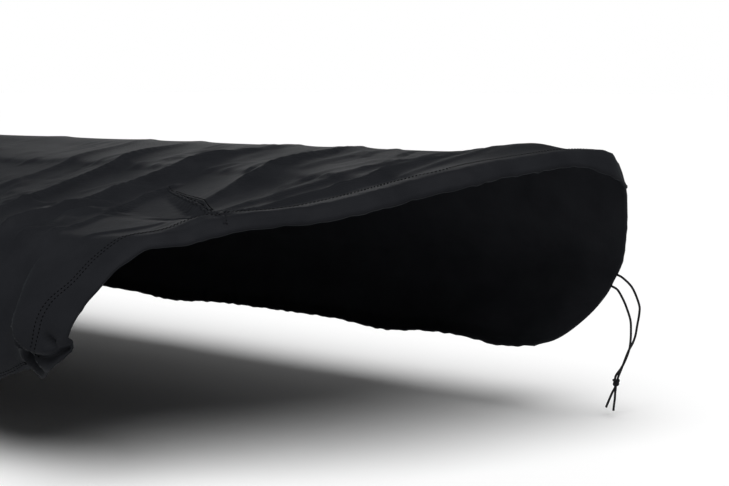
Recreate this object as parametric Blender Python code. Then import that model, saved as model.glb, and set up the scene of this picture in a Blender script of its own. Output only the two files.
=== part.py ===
"""A fitted stretch cover, drawn in at its hem, with its right end pulled up and back over the top.

Sizes are first given from the right front bottom corner of the hollow: x along the length (left is minus),
y from front to rear, z up. SEAT is the middle of the underside of the top, where the cover is carried, and it
becomes the model's origin.
"""
import bpy
import bmesh
import math
from mathutils import Vector

# Driving sizes, in metres
CLOTH = 0.0024
SEAT = Vector((-0.6665, 0.2500, 0.1276))
DEPTH = 0.3400
HEM_Z = -0.0220
TONGUE_HEM_Z = -0.0070
TONGUE_REACH = 0.0900
REAR_HEM_Z = -0.0160

# The top's cross section, from its front edge to its rear edge
TOP_COLUMNS = ("y", "z")
TOP = [
    (-0.040, 0.0790),
    (0.000, 0.0860),
    (0.006, 0.0880),
    (0.090, 0.1035),
    (0.165, 0.1180),
    (0.178, 0.1222),
    (0.250, 0.1304),
    (0.290, 0.1348),
    (0.303, 0.1350),
    (0.313, 0.1328),
    (0.323, 0.1270),
    (0.400, 0.1180),
]

# One row for each level of the cover, from the middle of its top out and down to its hem. end_x is the left
# end, corner the radius there, fall the share of the drop to the hem. The mouth columns say where the pulled up
# right end stops, how high its edge rolls up, and how far the edge itself dips, first in front, then behind,
# and how high the second roll stands behind.
LEVEL_COLUMNS = (
    "name", "front_y", "rear_y", "end_x", "corner", "fall",
    "front_mouth", "front_roll", "front_dip", "rear_mouth", "rear_roll", "rear_dip", "rear_swell",
)
LEVELS = [
    ("middle", 0.165, 0.165, -1.176, 0.000, 0.00, -0.0440, 0.0095, 0.0010, -0.0440, 0.0095, 0.0010, 0.0000),
    ("top_1", 0.146, 0.178, -1.192, 0.020, 0.00, -0.0545, 0.0090, 0.0010, -0.0300, 0.0095, 0.0010, 0.0010),
    ("top_2", 0.124, 0.203, -1.212, 0.040, 0.00, -0.0605, 0.0090, 0.0010, -0.0270, 0.0090, 0.0010, 0.0020),
    ("top_3", 0.102, 0.228, -1.234, 0.045, 0.00, -0.0690, 0.0085, 0.0010, -0.0220, 0.0085, 0.0015, 0.0035),
    ("top_4", 0.080, 0.252, -1.256, 0.045, 0.00, -0.0830, 0.0080, 0.0015, -0.0160, 0.0080, 0.0015, 0.0050),
    ("top_5", 0.059, 0.274, -1.278, 0.040, 0.00, -0.1145, 0.0070, 0.0020, -0.0090, 0.0070, 0.0035, 0.0065),
    ("top_6", 0.040, 0.293, -1.298, 0.035, 0.00, -0.1330, 0.0055, 0.0030, -0.0020, 0.0060, 0.0096, 0.0080),
    ("top_7", 0.022, 0.309, -1.316, 0.030, 0.00, -0.1380, 0.0040, 0.0035, 0.0020, 0.0055, 0.0145, 0.0080),
    ("edge", 0.006, 0.323, -1.330, 0.028, 0.00, -0.1595, 0.0030, 0.0035, 0.0010, 0.0035, 0.0144, 0.0040),
    ("turn", -0.009, 0.334, -1.338, 0.030, 0.08, -0.1700, 0.0020, 0.0010, -0.0050, 0.0010, 0.0030, 0.0000),
    ("face_1", -0.022, 0.347, -1.341, 0.032, 0.22, -0.1750, 0.0020, 0.0000, -0.0110, 0.0000, 0.0000, 0.0000),
    ("face_2", -0.030, 0.362, -1.343, 0.034, 0.38, -0.1850, 0.0020, 0.0000, -0.0200, 0.0000, 0.0000, 0.0000),
    ("rail", -0.034, 0.373, -1.344, 0.034, 0.54, -0.1890, 0.0010, 0.0000, -0.0300, 0.0000, 0.0000, 0.0000),
    ("low_1", -0.032, 0.370, -1.343, 0.034, 0.70, -0.1960, 0.0000, 0.0000, -0.0400, 0.0000, 0.0000, 0.0000),
    ("low_2", -0.026, 0.362, -1.340, 0.034, 0.84, -0.2150, 0.0000, 0.0000, -0.0540, 0.0000, 0.0000, 0.0000),
    ("hem", -0.015, 0.351, -1.333, 0.032, 0.96, -0.2410, 0.0000, 0.0000, -0.0720, 0.0000, 0.0000, 0.0000),
    ("lip", -0.001, 0.338, -1.322, 0.030, 1.00, -0.2620, 0.0000, 0.0000, -0.0860, 0.0000, 0.0000, 0.0000),
]

# Folds that run over the top from rear to front: where each crosses four lines along the length, how high it
# stands there, and how wide it is on its gentle left side and on its steep right side
FOLD_LINES_Y = (0.300, 0.165, 0.060, 0.000)
FOLD_COLUMNS = (
    "name", "x_rear", "x_middle", "x_low", "x_front", "h_rear", "h_middle", "h_low", "h_front", "left", "right",
)
FOLDS = [
    ("far_left", -1.120, -1.130, -1.140, -1.150, 0.0010, 0.0020, 0.0025, 0.0020, 0.060, 0.040),
    ("left_3", -0.930, -0.915, -0.900, -0.895, 0.0008, 0.0030, 0.0030, 0.0030, 0.060, 0.035),
    ("left_2", -0.760, -0.735, -0.715, -0.700, 0.0010, 0.0035, 0.0040, 0.0035, 0.050, 0.030),
    ("left_1", -0.610, -0.570, -0.530, -0.500, 0.0010, 0.0035, 0.0045, 0.0045, 0.045, 0.025),
    ("first", -0.485, -0.440, -0.425, -0.415, 0.0012, 0.0045, 0.0030, 0.0025, 0.035, 0.018),
    ("second", -0.418, -0.376, -0.348, -0.338, 0.0012, 0.0080, 0.0075, 0.0060, 0.032, 0.017),
    ("third", -0.302, -0.300, -0.292, -0.304, 0.0014, 0.0090, 0.0070, 0.0050, 0.030, 0.016),
    ("fourth", -0.234, -0.214, -0.196, -0.200, 0.0020, 0.0085, 0.0050, 0.0020, 0.026, 0.016),
    ("fifth", -0.128, -0.150, -0.170, -0.180, 0.0010, 0.0030, 0.0015, 0.0000, 0.016, 0.012),
    ("sixth", -0.098, -0.112, -0.146, -0.160, 0.0012, 0.0060, 0.0030, 0.0000, 0.018, 0.012),
]

# Folds that run down the front and rear walls: where each lies at three heights, how far it stands out (minus
# is in), and how wide it is on its left and on its right
WALL_COLUMNS = ("name", "side", "x_top", "x_rail", "x_hem", "out_top", "out_rail", "out_hem", "left", "right")
WALL_FOLDS = [
    ("tongue", "front", -0.238, -0.230, -0.228, 0.0035, 0.0130, 0.0050, 0.012, 0.030),
    ("tongue_valley", "front", -0.262, -0.254, -0.254, -0.0025, -0.0050, -0.0040, 0.014, 0.010),
    ("front_1", "front", -0.318, -0.322, -0.330, 0.0030, 0.0040, 0.0050, 0.026, 0.026),
    ("front_2", "front", -0.430, -0.436, -0.440, 0.0020, 0.0035, 0.0060, 0.034, 0.034),
    ("front_3", "front", -0.590, -0.585, -0.580, 0.0010, 0.0030, 0.0060, 0.042, 0.042),
    ("front_4", "front", -0.780, -0.790, -0.800, 0.0010, 0.0025, 0.0060, 0.048, 0.048),
    ("front_5", "front", -1.020, -1.015, -1.010, 0.0010, 0.0025, 0.0060, 0.052, 0.052),
    ("rear_1", "rear", -0.110, -0.100, -0.120, 0.0020, 0.0040, 0.0050, 0.026, 0.026),
    ("rear_2", "rear", -0.250, -0.245, -0.240, 0.0010, 0.0030, 0.0050, 0.034, 0.034),
    ("rear_3", "rear", -0.480, -0.490, -0.500, 0.0010, 0.0030, 0.0050, 0.044, 0.044),
    ("rear_4", "rear", -0.760, -0.755, -0.750, 0.0010, 0.0030, 0.0050, 0.050, 0.050),
    ("rear_5", "rear", -1.040, -1.050, -1.060, 0.0010, 0.0030, 0.0050, 0.052, 0.052),
]

# The sunk corner between the two crossing folds in front, where the corner seam gathers the cloth
DIMPLE_X = -0.232
DIMPLE_Y = 0.086
DIMPLE_DEPTH = 0.0050
DIMPLE_LENGTH = 0.034
DIMPLE_WIDTH = 0.022

# How the roll of the mouth's edge rises and falls away behind the edge
ROLL_COLUMNS = ("behind", "share")
ROLL = [(0.000, 0.00), (0.005, 0.62), (0.012, 1.00), (0.022, 0.94), (0.036, 0.55), (0.055, 0.18), (0.080, 0.00)]
DIP_REACH = 0.007

# The long second roll behind it, along the rear: how far behind the edge its crest is, and its half width
SWELL_BEHIND = 0.062
SWELL_HALF = 0.022

# The mouth's slant is lost this far behind its edge, where the columns stand square at this place
MOUTH_REACH = 0.400
PLAIN_X = -0.120

# The folds of the top fade out over this share of the drop, and those of the walls are whole after this one
TOP_FOLDS_FADE = 0.40
WALL_FOLDS_WHOLE = 0.20
WALL_FOLD_FALLS = (1.0, 0.5, 0.1)

# Columns of the sheet behind the mouth's edge: each zone's end and its step
ZONE_COLUMNS = ("end", "step")
ZONES = [(0.005, 0.005), (0.033, 0.007), (0.069, 0.006), (0.370, 0.014), (0.560, 0.024), (1.176, 0.056)]
CORNER_STEPS = 4
END_STEPS = 7

# The drawcord: two strands leave the rear hem, meet in a knot and end in two short tails
CORD = 0.0018
CORD_STEP = 0.0045
KNOT_LENGTH = 0.0066
KNOT_WIDTH = 0.0062
CURVE_PARTS = 20
STRAND_A = [
    (-0.0323, 0.3710, 0.0408),
    (-0.0270, 0.3714, 0.0383),
    (-0.0205, 0.3742, 0.0310),
    (-0.0155, 0.3758, 0.0188),
    (-0.0150, 0.3758, 0.0120),
    (-0.0168, 0.3760, 0.0016),
    (-0.0182, 0.3762, -0.0060),
    (-0.0204, 0.3762, -0.0122),
    (-0.0240, 0.3762, -0.0190),
    (-0.0270, 0.3762, -0.0266),
    (-0.0300, 0.3762, -0.0343),
    (-0.0324, 0.3759, -0.0408),
]
STRAND_B = [
    (-0.0365, 0.3698, 0.0317),
    (-0.0313, 0.3702, 0.0292),
    (-0.0272, 0.3718, 0.0220),
    (-0.0245, 0.3736, 0.0144),
    (-0.0212, 0.3734, 0.0057),
    (-0.0205, 0.3732, -0.0030),
    (-0.0208, 0.3734, -0.0100),
    (-0.0218, 0.3736, -0.0168),
    (-0.0248, 0.3736, -0.0253),
    (-0.0285, 0.3736, -0.0325),
    (-0.0338, 0.3741, -0.0404),
]
KNOT_MIDDLE = Vector((-0.0336, 0.3750, -0.0446))
TAIL_A = [
    (-0.0346, 0.3758, -0.0484),
    (-0.0372, 0.3758, -0.0535),
    (-0.0394, 0.3760, -0.0583),
    (-0.0410, 0.3760, -0.0622),
    (-0.0426, 0.3760, -0.0660),
]
TAIL_B = [
    (-0.0332, 0.3740, -0.0484),
    (-0.0334, 0.3736, -0.0530),
    (-0.0336, 0.3736, -0.0577),
    (-0.0342, 0.3736, -0.0624),
    (-0.0348, 0.3738, -0.0672),
]


def named_rows(columns, rows):
    """Turn the plain rows of a table into rows whose values are read by column name."""
    return [dict(zip(columns, row)) for row in rows]


def smooth(share):
    """Ease a share from 0 to 1."""
    share = min(1.0, max(0.0, share))
    return share * share * (3.0 - 2.0 * share)


def read_table(rows, key, value, at):
    """Read a column of a table, straight between its rows."""
    if at <= rows[0][key]:
        return rows[0][value]
    for low, high in zip(rows, rows[1:]):
        if at <= high[key]:
            share = (at - low[key]) / (high[key] - low[key])
            return low[value] + (high[value] - low[value]) * share
    return rows[-1][value]


def through(points, values, at):
    """Ease through a few values that are given at a few falling points."""
    if at >= points[0]:
        return values[0]
    for index in range(len(points) - 1):
        if at >= points[index + 1]:
            share = (points[index] - at) / (points[index] - points[index + 1])
            return values[index] + (values[index + 1] - values[index]) * smooth(share)
    return values[-1]


TOP_ROWS = named_rows(TOP_COLUMNS, TOP)
LEVEL_ROWS = named_rows(LEVEL_COLUMNS, LEVELS)
FOLD_ROWS = named_rows(FOLD_COLUMNS, FOLDS)
WALL_ROWS = named_rows(WALL_COLUMNS, WALL_FOLDS)
ROLL_ROWS = named_rows(ROLL_COLUMNS, ROLL)
ZONE_ROWS = named_rows(ZONE_COLUMNS, ZONES)


def top_z(y):
    """Height of the top before its folds."""
    return read_table(TOP_ROWS, "y", "z", y)


def stations():
    """Distances behind the mouth's edge, close together where the folds are."""
    marks = [0.0]
    for zone in ZONE_ROWS:
        count = max(1, round((zone["end"] - marks[-1]) / zone["step"]))
        start = marks[-1]
        for index in range(count):
            marks.append(start + (zone["end"] - start) * (index + 1) / count)
    return marks


def hem_height(side, behind):
    """Height of the hem: highest at the loose tongue in front of the mouth."""
    if side == "rear":
        return REAR_HEM_Z
    return TONGUE_HEM_Z + (HEM_Z - TONGUE_HEM_Z) * smooth(behind / TONGUE_REACH)


def side_point(level, side, behind, last):
    """A point of the front or rear half at a distance behind the mouth's edge."""
    y = level[side + "_y"]
    mouth = level[side + "_mouth"]
    near = 1.0 - smooth(behind / MOUTH_REACH)
    x = mouth * near + PLAIN_X * (1.0 - near) - behind
    if behind > MOUTH_REACH:
        start = PLAIN_X - MOUTH_REACH
        share = (behind - MOUTH_REACH) / (last - MOUTH_REACH)
        x = start + (level["end_x"] + level["corner"] - start) * share
    z = top_z(y) + (hem_height(side, behind) - top_z(y)) * level["fall"]
    z += level[side + "_roll"] * read_table(ROLL_ROWS, "behind", "share", behind)
    z -= level[side + "_dip"] * (1.0 - smooth(behind / DIP_REACH))
    if side == "rear":
        z += level["rear_swell"] * math.exp(-(((behind - SWELL_BEHIND) / SWELL_HALF) ** 2))
    return Vector((x, y, z))


def end_points(level):
    """The left end of a level, from its front corner round to its rear corner."""
    radius = min(level["corner"], (level["rear_y"] - level["front_y"]) / 2.0)
    front = level["front_y"] + radius
    rear = level["rear_y"] - radius
    places = []
    for step in range(1, CORNER_STEPS + 1):
        angle = math.pi / 2.0 * step / CORNER_STEPS
        places.append((level["corner"] * (1.0 - math.sin(angle)), front - radius * math.cos(angle)))
    for step in range(1, END_STEPS):
        places.append((0.0, front + (rear - front) * step / END_STEPS))
    for step in range(CORNER_STEPS):
        angle = math.pi / 2.0 * step / CORNER_STEPS
        places.append((level["corner"] * (1.0 - math.cos(angle)), rear + radius * math.sin(angle)))
    points = []
    for inward, y in places:
        hem = HEM_Z + (REAR_HEM_Z - HEM_Z) * smooth(y / DEPTH)
        z = top_z(y) + (hem - top_z(y)) * level["fall"]
        points.append(Vector((level["end_x"] + inward, y, z)))
    return points


def fold_height(point, fall):
    """How far the folds lift the top at a point."""
    height = 0.0
    for fold in FOLD_ROWS:
        middle = through(FOLD_LINES_Y, [fold["x_" + n] for n in ("rear", "middle", "low", "front")], point.y)
        crest = through(FOLD_LINES_Y, [fold["h_" + n] for n in ("rear", "middle", "low", "front")], point.y)
        away = point.x - middle
        width = fold["right"] if away > 0.0 else fold["left"]
        height += crest * math.exp(-((away / width) ** 2))
    along = ((point.x - DIMPLE_X) / DIMPLE_LENGTH) ** 2
    across = ((point.y - DIMPLE_Y) / DIMPLE_WIDTH) ** 2
    height -= DIMPLE_DEPTH * math.exp(-along - across)
    return height * (1.0 - smooth(fall / TOP_FOLDS_FADE))


def wall_height(point, side, fall):
    """How far the folds push a wall out at a point."""
    height = 0.0
    for fold in WALL_ROWS:
        if fold["side"] != side:
            continue
        middle = through(WALL_FOLD_FALLS, (fold["x_hem"], fold["x_rail"], fold["x_top"]), fall)
        out = through(WALL_FOLD_FALLS, (fold["out_hem"], fold["out_rail"], fold["out_top"]), fall)
        away = point.x - middle
        width = fold["right"] if away > 0.0 else fold["left"]
        height += out * math.exp(-((away / width) ** 2))
    return height * smooth(fall / WALL_FOLDS_WHOLE)


def cover_mesh():
    """The cover as a sheet: rings round the top's middle line, open at the mouth, then lifted into folds."""
    marks = stations()
    sheet = bmesh.new()
    rings = []
    for level in LEVEL_ROWS:
        front = [side_point(level, "front", mark, marks[-1]) for mark in marks]
        rear = [side_point(level, "rear", mark, marks[-1]) for mark in reversed(marks)]
        sides = ["front"] * len(front)
        points = front + end_points(level) + rear
        sides += ["end"] * (len(points) - 2 * len(front)) + ["rear"] * len(rear)
        rings.append([(sheet.verts.new(point), side, level["fall"]) for point, side in zip(points, sides)])
    for upper, lower in zip(rings, rings[1:]):
        for index in range(len(upper) - 1):
            corners = (upper[index], lower[index], lower[index + 1], upper[index + 1])
            sheet.faces.new([corner[0] for corner in corners])
    facts = {vert: (side, fall) for ring in rings for vert, side, fall in ring}
    sheet.normal_update()
    lifts = []
    for vert, (side, fall) in facts.items():
        lift = fold_height(vert.co, fall)
        if side != "end":
            lift += wall_height(vert.co, side, fall)
        lifts.append((vert, vert.normal.copy(), lift, fall))
    for vert, normal, lift, fall in lifts:
        if fall == 0.0:
            normal = Vector((0.0, 0.0, 1.0))
        vert.co += normal * lift - SEAT
    bmesh.ops.remove_doubles(sheet, verts=sheet.verts, dist=0.00002)
    bmesh.ops.recalc_face_normals(sheet, faces=sheet.faces)
    mesh = bpy.data.meshes.new("cover_cloth")
    sheet.to_mesh(mesh)
    sheet.free()
    return mesh


def finish(name, colour, roughness):
    """A plain material with the piece's colour and roughness."""
    material = bpy.data.materials.new(name)
    material.use_nodes = True
    shader = material.node_tree.nodes["Principled BSDF"]
    shader.inputs["Base Color"].default_value = (*colour, 1.0)
    shader.inputs["Roughness"].default_value = roughness
    shader.inputs["Metallic"].default_value = 0.0
    return material


def add_object(name, data, material):
    """Link an object that carries its own material."""
    made = bpy.data.objects.new(name, data)
    bpy.context.scene.collection.objects.link(made)
    made.data.materials.append(material)
    return made


def build_cover():
    """The cloth, thickened inwards from its outer face."""
    mesh = cover_mesh()
    mesh.shade_smooth()
    cover = add_object("cover_cloth", mesh, finish("cover_cloth", (0.012, 0.012, 0.015), 0.75))
    wall = cover.modifiers.new("cloth_thickness", "SOLIDIFY")
    wall.thickness = CLOTH
    wall.offset = -1.0
    wall.use_rim = True


def smooth_route(points):
    """Points at an even step on one smooth curve through a cord's own points."""
    knots = [Vector(point) - SEAT for point in points]
    knots = [2.0 * knots[0] - knots[1]] + knots + [2.0 * knots[-1] - knots[-2]]
    fine = []
    for before, start, end, after in zip(knots, knots[1:], knots[2:], knots[3:]):
        for part in range(CURVE_PARTS):
            t = part / CURVE_PARTS
            bend = (2.0 * before - 5.0 * start + 4.0 * end - after) * t * t
            twist = (3.0 * start - before - 3.0 * end + after) * t * t * t
            fine.append(0.5 * (2.0 * start + (end - before) * t + bend + twist))
    fine.append(knots[-2])
    length = sum((b - a).length for a, b in zip(fine, fine[1:]))
    count = max(3, round(length / CORD_STEP))
    route = [fine[0]]
    gone = 0.0
    for a, b in zip(fine, fine[1:]):
        gone += (b - a).length
        if gone >= length * len(route) / count and len(route) < count:
            route.append(b)
    route.append(fine[-1])
    return route


def build_cord(name, points):
    """A stretch of the drawcord: a round tube with closed ends."""
    route = smooth_route(points)
    curve = bpy.data.curves.new(name, "CURVE")
    curve.dimensions = "3D"
    curve.bevel_depth = CORD / 2.0
    curve.bevel_resolution = 2
    curve.use_fill_caps = True
    spline = curve.splines.new("POLY")
    spline.points.add(len(route) - 1)
    for place, point in zip(spline.points, route):
        place.co = (*point, 1.0)
    add_object(name, curve, finish(name, (0.010, 0.010, 0.011), 0.6))


def build_knot():
    """The knot: a small ball, waisted where its turn crosses it, flat above and below for the strands."""
    knot = bmesh.new()
    bmesh.ops.create_uvsphere(knot, u_segments=14, v_segments=9, radius=1.0)
    flat = KNOT_LENGTH / 2.0
    for vert in knot.verts:
        around = math.atan2(vert.co.y, vert.co.x)
        waist = 1.0 - 0.10 * math.cos(2.0 * around + 3.0 * vert.co.z)
        vert.co.x *= KNOT_WIDTH / 2.0 * waist
        vert.co.y *= KNOT_WIDTH / 2.0 * waist
        vert.co.z = min(flat, max(-flat, vert.co.z * flat * 1.06))
        vert.co += KNOT_MIDDLE - SEAT
    bmesh.ops.recalc_face_normals(knot, faces=knot.faces)
    mesh = bpy.data.meshes.new("drawcord_knot")
    knot.to_mesh(mesh)
    knot.free()
    mesh.shade_smooth()
    add_object("drawcord_knot", mesh, finish("drawcord_knot", (0.010, 0.010, 0.011), 0.6))


def main():
    """Clear the scene and build every piece."""
    for old in list(bpy.data.objects):
        bpy.data.objects.remove(old)
    build_cover()
    build_cord("drawcord_strand_a", STRAND_A)
    build_cord("drawcord_strand_b", STRAND_B)
    build_knot()
    build_cord("drawcord_tail_a", TAIL_A)
    build_cord("drawcord_tail_b", TAIL_B)


main()
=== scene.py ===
"""The looks of a fitted stretch cover: its creased knit cloth, hem sewing, corner seam and drawcord."""
import math
import bpy
import bmesh
import numpy as np
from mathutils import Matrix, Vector


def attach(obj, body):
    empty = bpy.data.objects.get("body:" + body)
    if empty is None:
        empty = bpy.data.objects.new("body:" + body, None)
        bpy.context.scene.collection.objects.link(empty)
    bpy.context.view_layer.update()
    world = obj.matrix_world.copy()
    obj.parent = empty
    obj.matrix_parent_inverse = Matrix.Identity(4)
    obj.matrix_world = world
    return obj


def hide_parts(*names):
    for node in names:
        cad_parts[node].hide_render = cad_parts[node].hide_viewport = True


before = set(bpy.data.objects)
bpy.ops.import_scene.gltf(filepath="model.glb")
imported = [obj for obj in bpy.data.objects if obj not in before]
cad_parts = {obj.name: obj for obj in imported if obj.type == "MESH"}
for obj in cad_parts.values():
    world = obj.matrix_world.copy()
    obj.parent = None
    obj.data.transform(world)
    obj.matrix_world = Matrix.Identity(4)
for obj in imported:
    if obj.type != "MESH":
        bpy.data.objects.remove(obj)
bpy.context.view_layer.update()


def table(columns, rows):
    """Plain rows whose values are read by column name."""
    return [dict(zip(columns, row)) for row in rows]


# Driving sizes, in metres, measured from the right front bottom corner of the hollow
SEAT = np.array((-0.6665, 0.2500, 0.1276))
DEPTH = 0.3400
HEM_Z = -0.0220
TONGUE_HEM_Z = -0.0070
TONGUE_REACH = 0.0900
REAR_HEM_Z = -0.0160
CLOTH = 0.0016

# The sides of the cover, as each column of the sheet notes them, and a distance past everything
FRONT = 1
REAR = 2
FAR = 9.0

# The top's cross section, from its front edge to its rear edge
TOP = table(("y", "z"), [
    (-0.040, 0.0790),
    (0.000, 0.0860),
    (0.006, 0.0880),
    (0.090, 0.1035),
    (0.165, 0.1180),
    (0.178, 0.1222),
    (0.250, 0.1304),
    (0.290, 0.1348),
    (0.303, 0.1350),
    (0.313, 0.1328),
    (0.323, 0.1270),
    (0.400, 0.1180),
])

# A row for each level of the cover, from the middle of its top out and down to its hem: the solids' rows,
# with a rounder lower corner of the mouth in front
LEVEL_COLUMNS = (
    "name", "front_y", "rear_y", "end_x", "corner", "fall",
    "front_mouth", "front_roll", "front_dip", "rear_mouth", "rear_roll", "rear_dip", "rear_swell",
)
LEVELS = table(LEVEL_COLUMNS, [
    ("middle", 0.165, 0.165, -1.176, 0.000, 0.00, -0.0440, 0.0095, 0.0010, -0.0440, 0.0095, 0.0010, 0.0000),
    ("top_1", 0.146, 0.178, -1.192, 0.020, 0.00, -0.0545, 0.0090, 0.0010, -0.0300, 0.0095, 0.0010, 0.0010),
    ("top_2", 0.124, 0.203, -1.212, 0.040, 0.00, -0.0605, 0.0090, 0.0010, -0.0270, 0.0090, 0.0010, 0.0020),
    ("top_3", 0.102, 0.228, -1.234, 0.045, 0.00, -0.0690, 0.0085, 0.0010, -0.0220, 0.0085, 0.0015, 0.0035),
    ("top_4", 0.080, 0.252, -1.256, 0.045, 0.00, -0.0830, 0.0080, 0.0015, -0.0160, 0.0080, 0.0015, 0.0050),
    ("top_5", 0.059, 0.274, -1.278, 0.040, 0.00, -0.1145, 0.0070, 0.0020, -0.0090, 0.0070, 0.0035, 0.0065),
    ("top_6", 0.040, 0.293, -1.298, 0.035, 0.00, -0.1330, 0.0055, 0.0030, -0.0020, 0.0060, 0.0096, 0.0080),
    ("top_7", 0.022, 0.309, -1.316, 0.030, 0.00, -0.1380, 0.0040, 0.0035, 0.0020, 0.0055, 0.0145, 0.0080),
    ("edge", 0.006, 0.323, -1.330, 0.028, 0.00, -0.1595, 0.0030, 0.0035, 0.0010, 0.0035, 0.0144, 0.0040),
    ("turn", -0.009, 0.334, -1.338, 0.030, 0.08, -0.1700, 0.0020, 0.0010, -0.0050, 0.0010, 0.0030, 0.0000),
    ("face_1", -0.022, 0.347, -1.341, 0.032, 0.22, -0.1750, 0.0020, 0.0000, -0.0110, 0.0000, 0.0000, 0.0000),
    ("face_2", -0.030, 0.362, -1.343, 0.034, 0.38, -0.1850, 0.0020, 0.0000, -0.0200, 0.0000, 0.0000, 0.0000),
    ("rail", -0.034, 0.373, -1.344, 0.034, 0.54, -0.1890, 0.0010, 0.0000, -0.0300, 0.0000, 0.0000, 0.0000),
    ("low_1", -0.032, 0.370, -1.343, 0.034, 0.70, -0.1960, 0.0000, 0.0000, -0.0400, 0.0000, 0.0000, 0.0000),
    ("low_2", -0.026, 0.362, -1.340, 0.034, 0.84, -0.2180, 0.0000, 0.0000, -0.0540, 0.0000, 0.0000, 0.0000),
    ("hem", -0.015, 0.351, -1.333, 0.032, 0.96, -0.2450, 0.0000, 0.0000, -0.0720, 0.0000, 0.0000, 0.0000),
    ("lip", -0.001, 0.338, -1.322, 0.030, 1.00, -0.2780, 0.0000, 0.0000, -0.0860, 0.0000, 0.0000, 0.0000),
])

# Folds over the top: where each crosses four lines along the length, from the rear to the front, its height
# there, and the width of its gentle left side and of its steep right side (the fourth ends at the seam)
FOLD_LINES_Y = (0.300, 0.165, 0.060, 0.000)
FOLDS = table((
    "name", "x_rear", "x_middle", "x_low", "x_front",
    "h_rear", "h_middle", "h_low", "h_front", "left", "right",
), [
    ("far_left", -1.120, -1.130, -1.140, -1.150, 0.0010, 0.0020, 0.0025, 0.0020, 0.060, 0.040),
    ("left_3", -0.930, -0.915, -0.900, -0.895, 0.0008, 0.0030, 0.0030, 0.0030, 0.060, 0.035),
    ("left_2", -0.760, -0.735, -0.715, -0.700, 0.0010, 0.0035, 0.0040, 0.0035, 0.050, 0.030),
    ("left_1", -0.610, -0.570, -0.530, -0.500, 0.0010, 0.0035, 0.0045, 0.0045, 0.045, 0.025),
    ("first", -0.485, -0.440, -0.425, -0.415, 0.0012, 0.0045, 0.0030, 0.0025, 0.035, 0.018),
    ("second", -0.418, -0.376, -0.348, -0.338, 0.0012, 0.0080, 0.0075, 0.0060, 0.032, 0.017),
    ("third", -0.302, -0.300, -0.292, -0.304, 0.0014, 0.0090, 0.0070, 0.0050, 0.030, 0.016),
    ("fourth", -0.234, -0.214, -0.196, -0.200, 0.0020, 0.0085, 0.0008, 0.0000, 0.026, 0.016),
    ("fifth", -0.128, -0.150, -0.170, -0.180, 0.0010, 0.0030, 0.0015, 0.0000, 0.016, 0.012),
    ("sixth", -0.098, -0.112, -0.146, -0.160, 0.0012, 0.0060, 0.0030, 0.0000, 0.018, 0.012),
])

# Folds down the front and rear walls: where each lies at three heights, how far it stands out, and
# its width on the left and on the right
WALL_FOLDS = table((
    "name", "side", "x_top", "x_rail", "x_hem", "out_top", "out_rail", "out_hem", "left", "right",
), [
    ("tongue", "front", -0.238, -0.230, -0.228, 0.0035, 0.0130, 0.0050, 0.012, 0.030),
    ("tongue_valley", "front", -0.262, -0.254, -0.254, -0.0025, -0.0050, -0.0040, 0.014, 0.010),
    ("front_1", "front", -0.318, -0.322, -0.330, 0.0030, 0.0040, 0.0050, 0.026, 0.026),
    ("front_2", "front", -0.430, -0.436, -0.440, 0.0020, 0.0035, 0.0060, 0.034, 0.034),
    ("front_3", "front", -0.590, -0.585, -0.580, 0.0010, 0.0030, 0.0060, 0.042, 0.042),
    ("front_4", "front", -0.780, -0.790, -0.800, 0.0010, 0.0025, 0.0060, 0.048, 0.048),
    ("front_5", "front", -1.020, -1.015, -1.010, 0.0010, 0.0025, 0.0060, 0.052, 0.052),
    ("rear_1", "rear", -0.110, -0.100, -0.120, 0.0020, 0.0040, 0.0050, 0.026, 0.026),
    ("rear_2", "rear", -0.250, -0.245, -0.240, 0.0010, 0.0030, 0.0050, 0.034, 0.034),
    ("rear_3", "rear", -0.480, -0.490, -0.500, 0.0010, 0.0030, 0.0050, 0.044, 0.044),
    ("rear_4", "rear", -0.760, -0.755, -0.750, 0.0010, 0.0030, 0.0050, 0.050, 0.050),
    ("rear_5", "rear", -1.040, -1.050, -1.060, 0.0010, 0.0030, 0.0050, 0.052, 0.052),
])

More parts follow.
